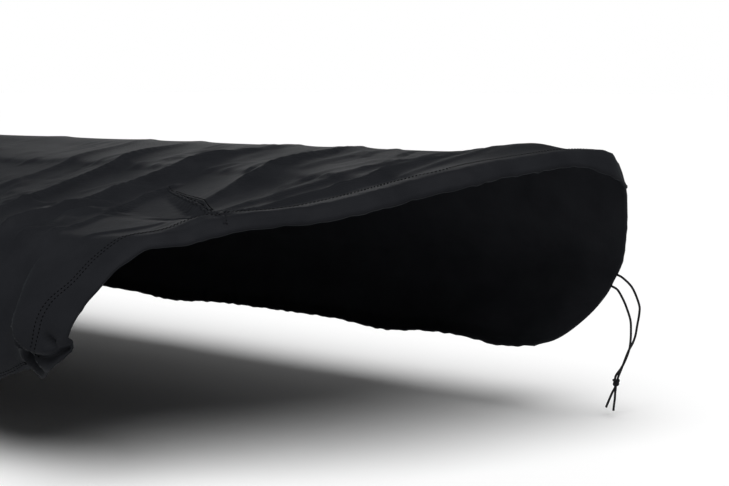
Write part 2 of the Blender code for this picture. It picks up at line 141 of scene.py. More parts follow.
# Creases on the top: how high each stands (minus is sunk), its half width, and the places it runs through
CREASES = table(("height", "half", "places"), [
    (0.0024, 0.0026, ((-0.273, 0.138), (-0.270, 0.123), (-0.269, 0.098), (-0.262, 0.075), (-0.256, 0.053))),
    (0.0020, 0.0028, ((-0.256, 0.053), (-0.251, 0.030), (-0.252, 0.012))),
    (0.0016, 0.0026, ((-0.240, 0.062), (-0.220, 0.061), (-0.201, 0.069), (-0.193, 0.075))),
    (0.0013, 0.0030, ((-0.275, 0.062), (-0.258, 0.058), (-0.240, 0.062))),
    (0.0015, 0.0024, ((-0.182, 0.042), (-0.186, 0.059), (-0.192, 0.075))),
    (0.0013, 0.0026, ((-0.222, 0.006), (-0.208, 0.018), (-0.199, 0.023), (-0.186, 0.034), (-0.178, 0.041))),
    (0.0028, 0.0045, ((-0.287, -0.001), (-0.270, 0.011), (-0.274, 0.025), (-0.281, 0.042), (-0.275, 0.062))),
    (0.0026, 0.0036, ((-0.288, -0.002), (-0.27, 0.001), (-0.26, -0.001), (-0.255, 0.001), (-0.264, 0.017))),
    (0.0018, 0.0036, ((-0.264, 0.017), (-0.273, 0.038))),
    (0.0026, 0.0048, ((-0.278, 0.076), (-0.291, 0.050), (-0.303, 0.042), (-0.300, 0.019), (-0.305, -0.001))),
    (0.0020, 0.0032, ((-0.370, 0.047), (-0.352, 0.052), (-0.328, 0.056), (-0.314, 0.062))),
    (0.0010, 0.0030, ((-0.492, 0.170), (-0.499, 0.189))),
    (0.0009, 0.0028, ((-0.497, 0.160), (-0.501, 0.180))),
    (0.0012, 0.0028, ((-0.357, 0.164), (-0.362, 0.189))),
    (0.0012, 0.0028, ((-0.340, 0.170), (-0.349, 0.216))),
    (0.0012, 0.0030, ((-0.311, 0.171), (-0.318, 0.218))),
    (0.0010, 0.0028, ((-0.315, 0.228), (-0.319, 0.269))),
    (0.0012, 0.0028, ((-0.278, 0.164), (-0.273, 0.204))),
    (0.0012, 0.0028, ((-0.260, 0.170), (-0.265, 0.219))),
    (0.0013, 0.0032, ((-0.234, 0.168), (-0.245, 0.242))),
    (0.0014, 0.0050, ((-0.401, 0.080), (-0.431, 0.114))),
    (0.0013, 0.0045, ((-0.388, 0.061), (-0.385, 0.092))),
    (0.0012, 0.0045, ((-0.370, 0.103), (-0.382, 0.144))),
    (0.0012, 0.0040, ((-0.333, 0.093), (-0.329, 0.129))),
    (0.0012, 0.0040, ((-0.300, 0.079), (-0.284, 0.119))),
    (0.0015, 0.0040, ((-0.198, 0.189), (-0.205, 0.232), (-0.205, 0.281))),
    (0.0014, 0.0040, ((-0.159, 0.116), (-0.160, 0.147), (-0.157, 0.182))),
    (0.0013, 0.0036, ((-0.120, 0.133), (-0.120, 0.176), (-0.119, 0.233))),
    (0.0013, 0.0036, ((-0.089, 0.170), (-0.090, 0.230), (-0.085, 0.285))),
])

# A crease or streak fades out at its ends over this length, less this share of the fade
RIDGE_TAPER = 0.010
RIDGE_START = 0.25

# Fine streaks where the cloth is pulled taut: how many lie in each part of the top and how high they stand,
# and for one streak its half length, its lean, its share of that height, and its half width, each from least
# to most. The last value is the share of them that is raised, the rest are sunk.
STREAK_SEED = 7
STREAK_REACH = (0.016, 0.034)
STREAK_LEAN = (-0.40, 0.12)
STREAK_SHARE = (0.5, 1.3)
STREAK_HALF = (0.0022, 0.0042)
STREAKS_RAISED = 0.7
STREAKS = table(("count", "x_low", "x_high", "y_low", "y_high", "height"), [
    (46, -0.420, -0.110, 0.175, 0.285, 0.00075),
    (16, -0.640, -0.420, 0.175, 0.280, 0.00055),
    (20, -0.520, -0.300, 0.030, 0.160, 0.00070),
    (12, -0.240, -0.130, 0.090, 0.170, 0.00060),
    (26, -1.250, -0.560, 0.040, 0.280, 0.00050),
])

# Creases on the front wall, by place along the length and height: where each starts and ends, and its size
WALL_CREASES = table(("x_from", "z_from", "x_to", "z_to", "height", "half"), [
    (-0.2090, 0.0325, -0.1990, 0.0225, -0.0048, 0.0022),
    (-0.1990, 0.0225, -0.1905, 0.0190, -0.0042, 0.0020),
    (-0.2140, 0.0285, -0.2040, 0.0190, 0.0018, 0.0034),
    (-0.247, 0.086, -0.256, 0.056, -0.0016, 0.0026),
    (-0.277, 0.086, -0.288, 0.062, -0.0018, 0.0045),
    (-0.170, 0.077, -0.160, 0.082, -0.0080, 0.0034),
    (-0.178, 0.068, -0.172, 0.070, -0.0014, 0.0022),
    (-0.190, 0.050, -0.183, 0.047, -0.0018, 0.0022),
])

# The sunk corner of the top: its tip, where its left crease and its seam end in front, its fall from the
# crease to the seam, the most that it sinks, how far the cloth climbs back beside the seam, and where and
# over what length it fades out in front
SUNK_TIP = (-0.271, 0.125)
SUNK_CREASE = (-0.262, 0.050)
SUNK_SEAM = (-0.140, 0.055)
SUNK_FALL = 0.17
SUNK_MOST = 0.0075
SUNK_CLIMB = 0.0060
SUNK_FRONT = 0.056
SUNK_FADE = 0.030

# The corner seam in front, as places on the top: a short welt, and beside it a long one that runs down to
# the hem
SEAMS = table(("name", "places"), [
    ("welt", ((-0.258, 0.119), (-0.240, 0.111), (-0.224, 0.104), (-0.203, 0.093), (-0.182, 0.081))),
    ("seam", (
        (-0.270, 0.123), (-0.237, 0.107), (-0.206, 0.090), (-0.180, 0.077), (-0.150, 0.059), (-0.134, 0.046),
    )),
])

# Under the tongue the hem doubles back: a crease that sags from side to side, the soft lip above it, and a
# deep hollow below it
FOLD_UNDER_X = -0.212
FOLD_UNDER_Z = 0.0165
FOLD_UNDER_SAG = 22.0
FOLD_UNDER_DEPTH = 0.0055
FOLD_UNDER_HALF = 0.0020
FOLD_UNDER_REACH = (-0.246, -0.186)
FOLD_UNDER_FADE = (0.008, 0.006)
FOLD_LIP_HEIGHT = 0.0016
FOLD_LIP_ABOVE = 0.0045
FOLD_LIP_HALF = 0.0030
HOLLOW_X = -0.2320
HOLLOW_Z = 0.0118
HOLLOW_DEPTH = 0.0230
HOLLOW_HALF_X = 0.0092
HOLLOW_HALF_Z = 0.0070

# How the roll of the mouth's edge rises and falls away behind the edge, and how far the edge's dip reaches
ROLL = table(("behind", "share"), [
    (0.000, 0.00), (0.005, 0.62), (0.012, 1.00), (0.022, 0.94), (0.036, 0.55), (0.055, 0.18), (0.080, 0.00),
])
DIP_REACH = 0.007

# The long second roll along the rear: how far behind the edge its crest is, and its half width
SWELL_BEHIND = 0.062
SWELL_HALF = 0.022

# The mouth's slant is lost this far behind its edge, where the columns stand square at this place
MOUTH_REACH = 0.400
PLAIN_X = -0.120

# Shares of the drop: the folds of the top fade out over the first, those of the walls are whole after the
# second, folds push up at the top and straight out after the third, and a wall's folds have three heights
TOP_FOLDS_FADE = 0.40
WALL_FOLDS_WHOLE = 0.20
PUSHES_OUT = 0.08
WALL_FOLD_FALLS = (0.1, 0.5, 1.0)

# The fine sheet: rows between two levels, more of them where the hem doubles back, columns behind the mouth
# as each zone's end and step, steps round a left corner and along the left end, and the level along which
# the weave is measured
ROWS_PER_LEVEL = 5
FINE_ROWS = 9
FINE_LEVELS = (12, 13, 14)
ZONES = [(0.0600, 0.0022), (0.4100, 0.0026), (0.6000, 0.0090), (1.1760, 0.0190)]
CORNER_STEPS = 8
END_STEPS = 20
EDGE_LEVEL = 8

# A fold's crest: the share of its height that is a peak, the peak's width on each side as a share of the
# fold's, how round the peak is, and the height share and half width of the thin bead along it
CREST_SHARE = 0.60
CREST_LEFT = 0.45
CREST_RIGHT = 0.26
CREST_ROUND = 0.0008
CREST_BEAD = 0.11
CREST_BEAD_HALF = 0.0026

# Where the drawcord gathers the hem into small ripples: their height, how far they reach behind the mouth's
# edge and, in levels, above the lip, and the rates of their long and short waves
GATHER = 0.00042
GATHER_BEHIND = 0.016
GATHER_LEVELS = 1.3
GATHER_LONG = 360.0
GATHER_SHORT = 611.0

# Stitches, and the two rows of them round the hem: how far inside its edge each lies, the cloth between two
# levels there, and how each row turns the mouth's corner and runs on
STITCH = 0.0017
STITCH_STEP = 0.0027
THREAD = 0.0008
HEM_ROWS = (0.0225, 0.0262)
HEM_GIRTH_PER_LEVEL = 0.0155
HEM_BEND = 0.014
HEM_RISE = 0.9
HEM_LEFT_END = 1.17
HEM_STEP = 0.003
HEM_LEVEL_STEP = 0.15

# The corner seam's welts, and how far beside a welt's middle its stitches lie, as a share of its width
WELT_WIDTH = 0.0022
WELT_HEIGHT = 0.0012
WELT_SIDES = 10
WELT_STEP = 0.0018
STITCHES_BESIDE = 0.75

# The spacings of the knit's wales and courses, of the cord's braid, and of a wave texture whose scale is 1
WALE = 0.0013
COURSE = 0.0010
BRAID = 0.0006
WAVE_REPEAT = 0.314

# The drawcord: its routes as in the solids, and its tied knot
CORD = 0.0018
CORD_SIDES = 12
CORD_STEP = 0.0012
CORD_UP = (0.3, 1.0, 0.2)
STRAND_A = [
    (-0.0323, 0.3710, 0.0408),
    (-0.0270, 0.3714, 0.0383),
    (-0.0205, 0.3742, 0.0310),
    (-0.0155, 0.3758, 0.0188),
    (-0.0150, 0.3758, 0.0120),
    (-0.0168, 0.3760, 0.0016),
    (-0.0182, 0.3762, -0.0060),
    (-0.0204, 0.3762, -0.0122),
    (-0.0240, 0.3762, -0.0190),
    (-0.0270, 0.3762, -0.0266),
    (-0.0300, 0.3762, -0.0343),
    (-0.0324, 0.3759, -0.0408),
]
STRAND_B = [
    (-0.0365, 0.3698, 0.0317),
    (-0.0313, 0.3702, 0.0292),
    (-0.0272, 0.3718, 0.0220),
    (-0.0245, 0.3736, 0.0144),
    (-0.0212, 0.3734, 0.0057),
    (-0.0205, 0.3732, -0.0030),
    (-0.0208, 0.3734, -0.0100),
    (-0.0218, 0.3736, -0.0168),
    (-0.0248, 0.3736, -0.0253),
    (-0.0285, 0.3736, -0.0325),
    (-0.0338, 0.3741, -0.0404),
]
KNOT_MIDDLE = (-0.0336, 0.3750, -0.0446)
KNOT_RADIUS = 0.0019
KNOT_SPREAD = 2.2
KNOT_DEPTH = 0.75
KNOT_POINTS = 49
TAIL_A = [
    (-0.0346, 0.3758, -0.0484),
    (-0.0372, 0.3758, -0.0535),
    (-0.0394, 0.3760, -0.0583),
    (-0.0410, 0.3760, -0.0622),
    (-0.0426, 0.3760, -0.0660),
]
TAIL_B = [
    (-0.0332, 0.3740, -0.0484),
    (-0.0334, 0.3736, -0.0530),
    (-0.0336, 0.3736, -0.0577),
    (-0.0342, 0.3736, -0.0624),
    (-0.0348, 0.3738, -0.0672),
]

# The camera, fitted to the photograph
CAMERA_PLACE = (0.50948, -0.59806, 0.18824)
CAMERA_YAW = math.radians(39.3375)
CAMERA_PITCH = math.radians(6.4119)
CAMERA_LENS = 70.445
SENSOR = 36.0

# The surround's fill, and two suns: a low one behind the cover, whose faint glance along the cloth draws the
# folds, and a wide one overhead, which whitens the floor. Angles are in degrees.
WORLD_FILL = 0.12
LIGHTS = table(("name", "turn", "rise", "spread", "power"), [
    ("key", 136.0, 16.0, 20.0, 0.125),
    ("over", -50.0, 62.0, 60.0, 3.3),
])
FLOOR_DROP = 0.006
FLOOR_REACH = 30.0


def smooth(share):
    """Ease a share from 0 to 1."""
    share = np.clip(share, 0.0, 1.0)
    return share * share * (3.0 - 2.0 * share)


def ease_through(knots, values, at):
    """A smooth curve through a few values that never overshoots them, as cloth is eased over pins."""
    knots = np.asarray(knots, float)
    values = np.asarray(values, float)
    steps = np.diff(knots)
    rises = np.diff(values) / steps
    slopes = np.zeros_like(values)
    slopes[0] = rises[0]
    slopes[-1] = rises[-1]
    agree = rises[:-1] * rises[1:] > 0.0
    with np.errstate(divide="ignore", invalid="ignore"):
        mean = 2.0 * rises[:-1] * rises[1:] / (rises[:-1] + rises[1:])
    slopes[1:-1] = np.where(agree, mean, 0.0)
    at = np.clip(at, knots[0], knots[-1])
    spot = np.clip(np.searchsorted(knots, at, side="right") - 1, 0, len(knots) - 2)
    step = steps[spot]
    t = (at - knots[spot]) / step
    low = values[spot] * (1.0 + 2.0 * t) * (1.0 - t) ** 2 + slopes[spot] * step * t * (1.0 - t) ** 2
    high = values[spot + 1] * t * t * (3.0 - 2.0 * t) + slopes[spot + 1] * step * t * t * (t - 1.0)
    return low + high


def column(rows, name):
    """One column of a table."""
    return [row[name] for row in rows]


def run_along(points):
    """How far along their line the points lie."""
    return np.concatenate([[0.0], np.cumsum(np.linalg.norm(np.diff(points, axis=0), axis=-1))])


def unit(vectors):
    """Vectors brought to length 1."""
    return vectors / np.linalg.norm(vectors, axis=-1, keepdims=True)


def top_z(y):
    """Height of the top before its folds."""
    return ease_through(column(TOP, "y"), column(TOP, "z"), y)


def level_values(level):
    """Every measure of the cover at a level, also between two rows of the table."""
    marks = np.arange(len(LEVELS))
    return {name: ease_through(marks, column(LEVELS, name), level) for name in LEVEL_COLUMNS[1:]}


def stations():
    """Distances behind the mouth's edge, close together at the hem."""
    marks = [0.0]
    for end, step in ZONES:
        count = round((end - marks[-1]) / step)
        marks += list(np.linspace(marks[-1], end, count + 1)[1:])
    return np.array(marks)


def side_points(values, side, behind, last):
    """Points of the front or rear half at distances behind the mouth's edge, before folds."""
    y = values[side + "_y"] + 0.0 * behind
    near = 1.0 - smooth(behind / MOUTH_REACH)
    x = values[side + "_mouth"] * near + PLAIN_X * (1.0 - near) - behind
    start = PLAIN_X - MOUTH_REACH
    share = np.clip((behind - MOUTH_REACH) / (last - MOUTH_REACH), 0.0, 1.0)
    far = start + (values["end_x"] + values["corner"] - start) * share
    x = np.where(behind > MOUTH_REACH, far, x)
    hem = REAR_HEM_Z + 0.0 * behind
    if side == "front":
        hem = TONGUE_HEM_Z + (HEM_Z - TONGUE_HEM_Z) * smooth(behind / TONGUE_REACH)
    z = top_z(y) + (hem - top_z(y)) * values["fall"]
    roll = ease_through(column(ROLL, "behind"), column(ROLL, "share"), behind)
    z = z + values[side + "_roll"] * roll
    z = z - values[side + "_dip"] * (1.0 - smooth(behind / DIP_REACH))
    if side == "rear":
        z = z + values["rear_swell"] * np.exp(-(((behind - SWELL_BEHIND) / SWELL_HALF) ** 2))
    return np.stack([x, y, z], axis=-1)


def end_points(values):
    """The left end of a level, from its front corner round to its rear corner."""
    radius = min(values["corner"], (values["rear_y"] - values["front_y"]) / 2.0)
    front = values["front_y"] + radius
    rear = values["rear_y"] - radius
    turn = math.pi / 2.0 * np.arange(1, CORNER_STEPS + 1) / CORNER_STEPS
    back = math.pi / 2.0 * np.arange(0, CORNER_STEPS) / CORNER_STEPS
    share = np.arange(1, END_STEPS) / END_STEPS
    inward = np.concatenate([
        values["corner"] * (1.0 - np.sin(turn)), 0.0 * share, values["corner"] * (1.0 - np.cos(back)),
    ])
    y = np.concatenate([
        front - radius * np.cos(turn), front + (rear - front) * share, rear + radius * np.sin(back),
    ])
    hem = HEM_Z + (REAR_HEM_Z - HEM_Z) * smooth(y / DEPTH)
    z = top_z(y) + (hem - top_z(y)) * values["fall"]
    return np.stack([values["end_x"] + inward, y, z], axis=-1)


def fold_heights(points, fall):
    """How far the main folds lift the top, less the sunk corner."""
    x = points[..., 0]
    y = points[..., 1]
    lines = FOLD_LINES_Y[::-1]
    names = ("front", "low", "middle", "rear")
    height = np.zeros_like(x)
    for fold in FOLDS:
        middle = ease_through(lines, [fold["x_" + name] for name in names], y)
        crest = ease_through(lines, [fold["h_" + name] for name in names], y)
        away = x - middle
        width = np.where(away > 0.0, fold["right"], fold["left"])
        body = np.exp(-((away / width) ** 2))
        peak = np.sqrt(away ** 2 + CREST_ROUND ** 2) - CREST_ROUND
        peak = np.exp(-peak / (width * np.where(away > 0.0, CREST_RIGHT, CREST_LEFT)))
        bead = CREST_BEAD * np.exp(-((away / CREST_BEAD_HALF) ** 2))
        height += crest * ((1.0 - CREST_SHARE) * body + CREST_SHARE * peak + bead)
    return (height - sunk_corner(x, y)) * (1.0 - smooth(fall / TOP_FOLDS_FADE))


def beside(x, y, start, end):
    """How far each point of the plan is from a line, minus on its right."""
    run = (end[0] - start[0], end[1] - start[1])
    return ((y - start[1]) * run[0] - (x - start[0]) * run[1]) / math.hypot(*run)


def sunk_corner(x, y):
    """How deep the sunk corner is: it falls from its left crease and climbs steeply to the seam."""
    from_crease = beside(x, y, SUNK_TIP, SUNK_CREASE)
    from_seam = -beside(x, y, SUNK_TIP, SUNK_SEAM)
    depth = SUNK_MOST * (1.0 - np.exp(-np.maximum(from_crease, 0.0) * SUNK_FALL / SUNK_MOST))
    return depth * smooth(from_seam / SUNK_CLIMB) * smooth((y - SUNK_FRONT) / SUNK_FADE + 0.5)


def near_line(x, y, places):
    """How far each point is from a line through places, how far along it, and how long the line is."""
    best = np.full_like(x, FAR)
    along = np.zeros_like(x)
    gone = 0.0
    for start, end in zip(places, places[1:]):
        run = (end[0] - start[0], end[1] - start[1])
        length = math.hypot(*run)
        share = np.clip(((x - start[0]) * run[0] + (y - start[1]) * run[1]) / length ** 2, 0.0, 1.0)
        gap = np.hypot(x - start[0] - run[0] * share, y - start[1] - run[1] * share)
        along = np.where(gap < best, gone + length * share, along)
        best = np.minimum(best, gap)
        gone += length
    return best, along, gone


def ridge(x, y, places, height, half):
    """A soft ridge along a line, fading out at both its ends."""
    gap, along, length = near_line(x, y, places)
    taper = smooth(along / RIDGE_TAPER + RIDGE_START) * smooth((length - along) / RIDGE_TAPER + RIDGE_START)
    return height * taper * np.exp(-((gap / half) ** 2))


def crease_heights(points, fall):
    """How far the creases and the fine streaks lift the top."""
    x = points[..., 0]
    y = points[..., 1]
    height = np.zeros_like(x)
    for crease in CREASES:
        height += ridge(x, y, crease["places"], crease["height"], crease["half"])
    dice = np.random.default_rng(STREAK_SEED)
    for part in STREAKS:
        for _ in range(part["count"]):
            x_mid = dice.uniform(part["x_low"], part["x_high"])
            y_mid = dice.uniform(part["y_low"], part["y_high"])
            reach = dice.uniform(*STREAK_REACH)
            lean = dice.uniform(*STREAK_LEAN)
            places = (
                (x_mid - lean * reach, y_mid - reach), (x_mid, y_mid), (x_mid + lean * reach, y_mid + reach),
            )
            share = dice.uniform(*STREAK_SHARE)
            way = 1.0 if dice.random() < STREAKS_RAISED else -1.0
            height += ridge(x, y, places, part["height"] * share * way, dice.uniform(*STREAK_HALF))
    return height * (1.0 - smooth(fall / TOP_FOLDS_FADE))


def wall_heights(points, side, fall):
    """How far the folds push the walls out."""
    x = points[..., 0]
    height = np.zeros_like(x)
    for fold in WALL_FOLDS:
        here = side == (FRONT if fold["side"] == "front" else REAR)
        middle = ease_through(WALL_FOLD_FALLS, (fold["x_top"], fold["x_rail"], fold["x_hem"]), fall)
        out = ease_through(WALL_FOLD_FALLS, (fold["out_top"], fold["out_rail"], fold["out_hem"]), fall)
        away = x - middle
        width = np.where(away > 0.0, fold["right"], fold["left"])
        height += here * out * np.exp(-((away / width) ** 2))
    z = points[..., 2]
    for crease in WALL_CREASES:
        places = ((crease["x_from"], crease["z_from"]), (crease["x_to"], crease["z_to"]))
        height += (side == FRONT) * ridge(x, z, places, crease["height"], crease["half"])
    height += (side == FRONT) * fold_under(x, z)
    return height * smooth(fall / WALL_FOLDS_WHOLE)


def fold_under(x, z):
    """The crease, its lip and the hollow where the hem doubles back under the tongue."""
    crease_z = FOLD_UNDER_Z + FOLD_UNDER_SAG * (x - FOLD_UNDER_X) ** 2
    low_x, high_x = FOLD_UNDER_REACH
    low_fade, high_fade = FOLD_UNDER_FADE
    window = smooth((x - low_x) / low_fade) * smooth((high_x - x) / high_fade)
    groove = FOLD_UNDER_DEPTH * window * np.exp(-(((z - crease_z) / FOLD_UNDER_HALF) ** 2))
    lip = FOLD_LIP_HEIGHT * window * np.exp(-(((z - crease_z - FOLD_LIP_ABOVE) / FOLD_LIP_HALF) ** 2))
    gap = ((x - HOLLOW_X) / HOLLOW_HALF_X) ** 2 + ((z - HOLLOW_Z) / HOLLOW_HALF_Z) ** 2
    return lip - groove - HOLLOW_DEPTH * np.exp(-(gap ** 2))


def grid_normals(points):
    """Outward normals of a grid of points, rings by columns."""
    down = np.gradient(points, axis=0)
    along = np.gradient(points, axis=1)
    normals = np.cross(along, down)
    lengths = np.linalg.norm(normals, axis=-1, keepdims=True)
    normals = normals / np.maximum(lengths, 1e-12)
    normals[0] = (0.0, 0.0, 1.0)
    return normals


def sheet_levels():
    """The levels of the fine sheet's rows."""
    levels = [0.0]
    for low in range(len(LEVELS) - 1):
        count = FINE_ROWS if low in FINE_LEVELS else ROWS_PER_LEVEL
        levels += list(low + np.arange(1, count + 1) / count)
    return np.array(levels)


def cover_grid():
    """Points, normals and facts of the fine sheet, with its folds and creases."""
    marks = stations()
    levels = sheet_levels()
    rows = []
    falls = []
    for level in levels:
        values = level_values(level)
        front = side_points(values, "front", marks, marks[-1])
        rear = side_points(values, "rear", marks[::-1], marks[-1])
        rows.append(np.concatenate([front, end_points(values), rear]))
        falls.append(float(values["fall"]))
    points = np.array(rows)
    fall = np.array(falls)[:, None] + 0.0 * points[..., 0]
    level = levels[:, None] + 0.0 * points[..., 0]
    side = np.zeros(points.shape[1], int)
    side[:len(marks)] = FRONT
    side[-len(marks):] = REAR
    side = side[None, :] + np.zeros(fall.shape, int)
    behind = np.full(points.shape[1], FAR)
    behind[:len(marks)] = marks
    behind[-len(marks):] = marks[::-1]
    normals = grid_normals(points)
    blend = smooth(fall / PUSHES_OUT)[..., None]
    push = unit(normals * blend + np.array((0.0, 0.0, 1.0)) * (1.0 - blend))
    lift = fold_heights(points, fall) + crease_heights(points, fall) + wall_heights(points, side, fall)
    lift += gathers(points, behind[None, :], level)
    points = points + push * lift[..., None] - SEAT
    return {"points": points, "normals": grid_normals(points), "marks": marks, "levels": levels}


def gathers(points, behind, level):
    """Small ripples where the drawcord gathers the hem, at a rate that wanders, so that no two are alike."""
    last = len(LEVELS) - 1.0
    to_mouth = np.exp(-((behind / GATHER_BEHIND) ** 2))
    to_lip = np.exp(-(((last - level) / GATHER_LEVELS) ** 2))
    near = np.maximum(to_mouth, to_lip)
    along_mouth = points[..., 1] * 1.15 - points[..., 2] * 0.9
    along_lip = points[..., 0] + points[..., 1]
    run = np.where(to_mouth > to_lip, along_mouth, along_lip)
    wave = np.sin(run * GATHER_LONG + 2.0 * np.sin(run * 71.0)) + 0.6 * np.sin(run * GATHER_SHORT + 1.7)
    return GATHER * near * wave


def sheet_mesh(grid):
    """The sheet as a mesh, its middle line closed and its weave coordinates in metres."""
    points = grid["points"]
    rings, columns = points.shape[:2]
    side_count = len(grid["marks"])
    index = np.arange(rings * columns).reshape(rings, columns)
    mirror = columns - 1 - np.arange(columns)
    index[0, side_count:columns - side_count] = side_count - 1
    index[0, columns - side_count:] = mirror[columns - side_count:]
    steps = np.linalg.norm(np.diff(points, axis=0), axis=-1)
    girth = np.concatenate([np.zeros((1, columns)), np.cumsum(steps, 0)])
    length = run_along(points[EDGE_LEVEL * ROWS_PER_LEVEL])
    faces = []
    places = []
    for ring in range(rings - 1):
        for at in range(columns - 1):
            corners = [(ring, at), (ring, at + 1), (ring + 1, at + 1), (ring + 1, at)]
            face = []
            spots = []
            for corner in corners:
                number = int(index[corner])
                if number not in face:
                    face.append(number)
                    spots.append((length[corner[1]], girth[corner]))
            if len(face) > 2:
                faces.append(face)
                places += spots
    used = np.unique(np.concatenate([np.array(face) for face in faces]))
    renumber = np.full(rings * columns, -1)
    renumber[used] = np.arange(len(used))
    mesh = bpy.data.meshes.new("cover_sheet")
    faces = [[int(renumber[number]) for number in face] for face in faces]
    mesh.from_pydata(points.reshape(-1, 3)[used].tolist(), [], faces)
    weave = mesh.uv_layers.new(name="weave")
    weave.data.foreach_set("uv", np.array(places, "f").ravel())
    mesh.update()
    return mesh


def at_grid(grid, field, level, behind, side):
    """Read the grid's points or normals at a level and a distance behind the mouth's edge."""
    marks = grid["marks"]
    row = float(np.interp(level, grid["levels"], np.arange(len(grid["levels"]))))
    place = float(np.interp(behind, marks, np.arange(len(marks))))
    if side == REAR:
        place = grid["points"].shape[1] - 1 - place
    low_row = int(min(math.floor(row), len(grid["levels"]) - 2))
    low_place = int(min(math.floor(place), grid["points"].shape[1] - 2))
    a = row - low_row
    b = place - low_place
    values = grid[field]
    near = values[low_row, low_place] * (1 - b) + values[low_row, low_place + 1] * b
    far = values[low_row + 1, low_place] * (1 - b) + values[low_row + 1, low_place + 1] * b
    return near * (1 - a) + far * a


def on_top(grid, place):
    """The point and the normal of the sheet's front half above a place, found in a few steps."""
    target = np.array(place) - SEAT[:2]
    count = len(grid["marks"])
    gaps = np.linalg.norm(grid["points"][:, :count, :2] - target, axis=2)
    row, at = np.unravel_index(np.argmin(gaps), gaps.shape)
    spot = np.array([grid["levels"][row], grid["marks"][at]])
    nudges = np.array([[0.1, 0.0], [0.0, 0.002]])
    most = 0.3
    limits = (len(LEVELS) - 1.2, 1.1)
    for _ in range(6):
        here = at_grid(grid, "points", *spot, FRONT)[:2]
        moved = [at_grid(grid, "points", *(spot + nudge), FRONT)[:2] for nudge in nudges]
        slopes = np.array([(there - here) / nudge.sum() for there, nudge in zip(moved, nudges)]).T
        spot = spot + np.clip(np.linalg.solve(slopes, target - here), -most, most)
        spot = np.clip(spot, (0.0, 0.0), limits)
    return at_grid(grid, "points", *spot, FRONT), at_grid(grid, "normals", *spot, FRONT)


def srgb(code):
    """A colour from its sRGB hex code, turned to linear."""
    parts = [int(code[i:i + 2], 16) / 255.0 for i in (1, 3, 5)]
    return [p / 12.92 if p <= 0.04045 else ((p + 0.055) / 1.055) ** 2.4 for p in parts] + [1.0]


def add_node(tree, kind, settings=None, values=None, links=None):
    """Add a node with its settings, its input values and links from other nodes' outputs."""
    node = tree.nodes.new(kind)
    for name, value in (settings or {}).items():
        setattr(node, name, value)
    for name, value in (values or {}).items():
        node.inputs[name].default_value = value
    for name, source in (links or {}).items():
        tree.links.new(source, node.inputs[name])
    return node


def new_material(name, roughness, sheen, sheen_roughness, specular):
    """A material with its shader's plain values, and the tree that its nodes go into."""
    material = bpy.data.materials.new(name)
    material.use_nodes = True
    tree = material.node_tree
    shader = tree.nodes["Principled BSDF"]
    shader.inputs["Roughness"].default_value = roughness
    shader.inputs["Sheen Weight"].default_value = sheen
    shader.inputs["Sheen Roughness"].default_value = sheen_roughness
    shader.inputs["Specular IOR Level"].default_value = specular
    shader.inputs["IOR"].default_value = 1.5
    return material, tree, shader


def wave_bands(tree, uv, way, spacing, values):
    """Even bands over a piece's weave coordinates, at a real spacing."""
    return add_node(
        tree, "ShaderNodeTexWave", {"wave_type": "BANDS", "bands_direction": way},
        {"Scale": WAVE_REPEAT / spacing, **values}, {"Vector": uv.outputs["UV"]},
    )


def cloudy(tree, place, scale, detail, roughness=0.5):
    """A soft cloudy pattern through a piece."""
    return add_node(
        tree, "ShaderNodeTexNoise", None, {"Scale": scale, "Detail": detail, "Roughness": roughness},
        {"Vector": place.outputs["Object"]},
    )


def two_tones(tree, pattern, dark, light, places=(0.0, 1.0)):
    """A colour that goes from a dark tone to a light one with a pattern."""
    tone = add_node(tree, "ShaderNodeValToRGB", None, None, {"Fac": pattern.outputs["Fac"]})
    for stop, place, code in zip(tone.color_ramp.elements, places, (dark, light)):
        stop.position = place
        stop.color = srgb(code)
    return tone


def stretch_knit():
    """Polyester and elastane jersey, warp knitted and dyed black.

    That gives a close, even face with next to no shine, whose fine wales show close by. The wales are really
    about 0.6 mm apart and are drawn at 1.3 mm, so that they show.
    """
    material, tree, shader = new_material(
        "stretch_knit_black", roughness=0.44, sheen=0.03, sheen_roughness=0.35, specular=0.012,
    )
    shader.inputs["Sheen Tint"].default_value = srgb("#c9d6dd")
    uv = add_node(tree, "ShaderNodeUVMap", {"uv_map": "weave"})
    place = add_node(tree, "ShaderNodeTexCoord")
    wales = wave_bands(tree, uv, "X", WALE, {"Distortion": 0.6, "Detail": 1.0, "Detail Scale": 0.5})
    courses = wave_bands(tree, uv, "Y", COURSE, {"Distortion": 0.4, "Detail": 1.0, "Detail Scale": 0.5})
    knit = add_node(
        tree, "ShaderNodeMath", {"operation": "MULTIPLY"}, None,
        {0: wales.outputs["Fac"], 1: courses.outputs["Fac"]},
    )
    tone = two_tones(tree, cloudy(tree, place, 34.0, 4.0, 0.55), "#1b1c1f", "#212225", (0.30, 0.72))
    # The wales and courses darken the colour in the gaps between them: painted shade in the knit's small
    # hollows, beside the real bump from the same pattern.
    shade = add_node(
        tree, "ShaderNodeMapRange", None, {"To Min": 0.72, "To Max": 1.0}, {"Value": knit.outputs[0]},
    )
    gaps = add_node(
        tree, "ShaderNodeMix", {"data_type": "RGBA", "blend_type": "MULTIPLY"}, {"Factor": 0.35},
        {"A": tone.outputs["Color"], "B": shade.outputs["Result"]},
    )
    bump = add_node(
        tree, "ShaderNodeBump", None, {"Strength": 0.35, "Distance": 0.00025}, {"Height": knit.outputs[0]},
    )
    crumple = cloudy(tree, place, 60.0, 3.0)
    ripple = add_node(
        tree, "ShaderNodeBump", None, {"Strength": 0.25, "Distance": 0.0012},
        {"Height": crumple.outputs["Fac"], "Normal": bump.outputs["Normal"]},
    )
    tree.links.new(gaps.outputs["Result"], shader.inputs["Base Color"])
    tree.links.new(ripple.outputs["Normal"], shader.inputs["Normal"])
    return material


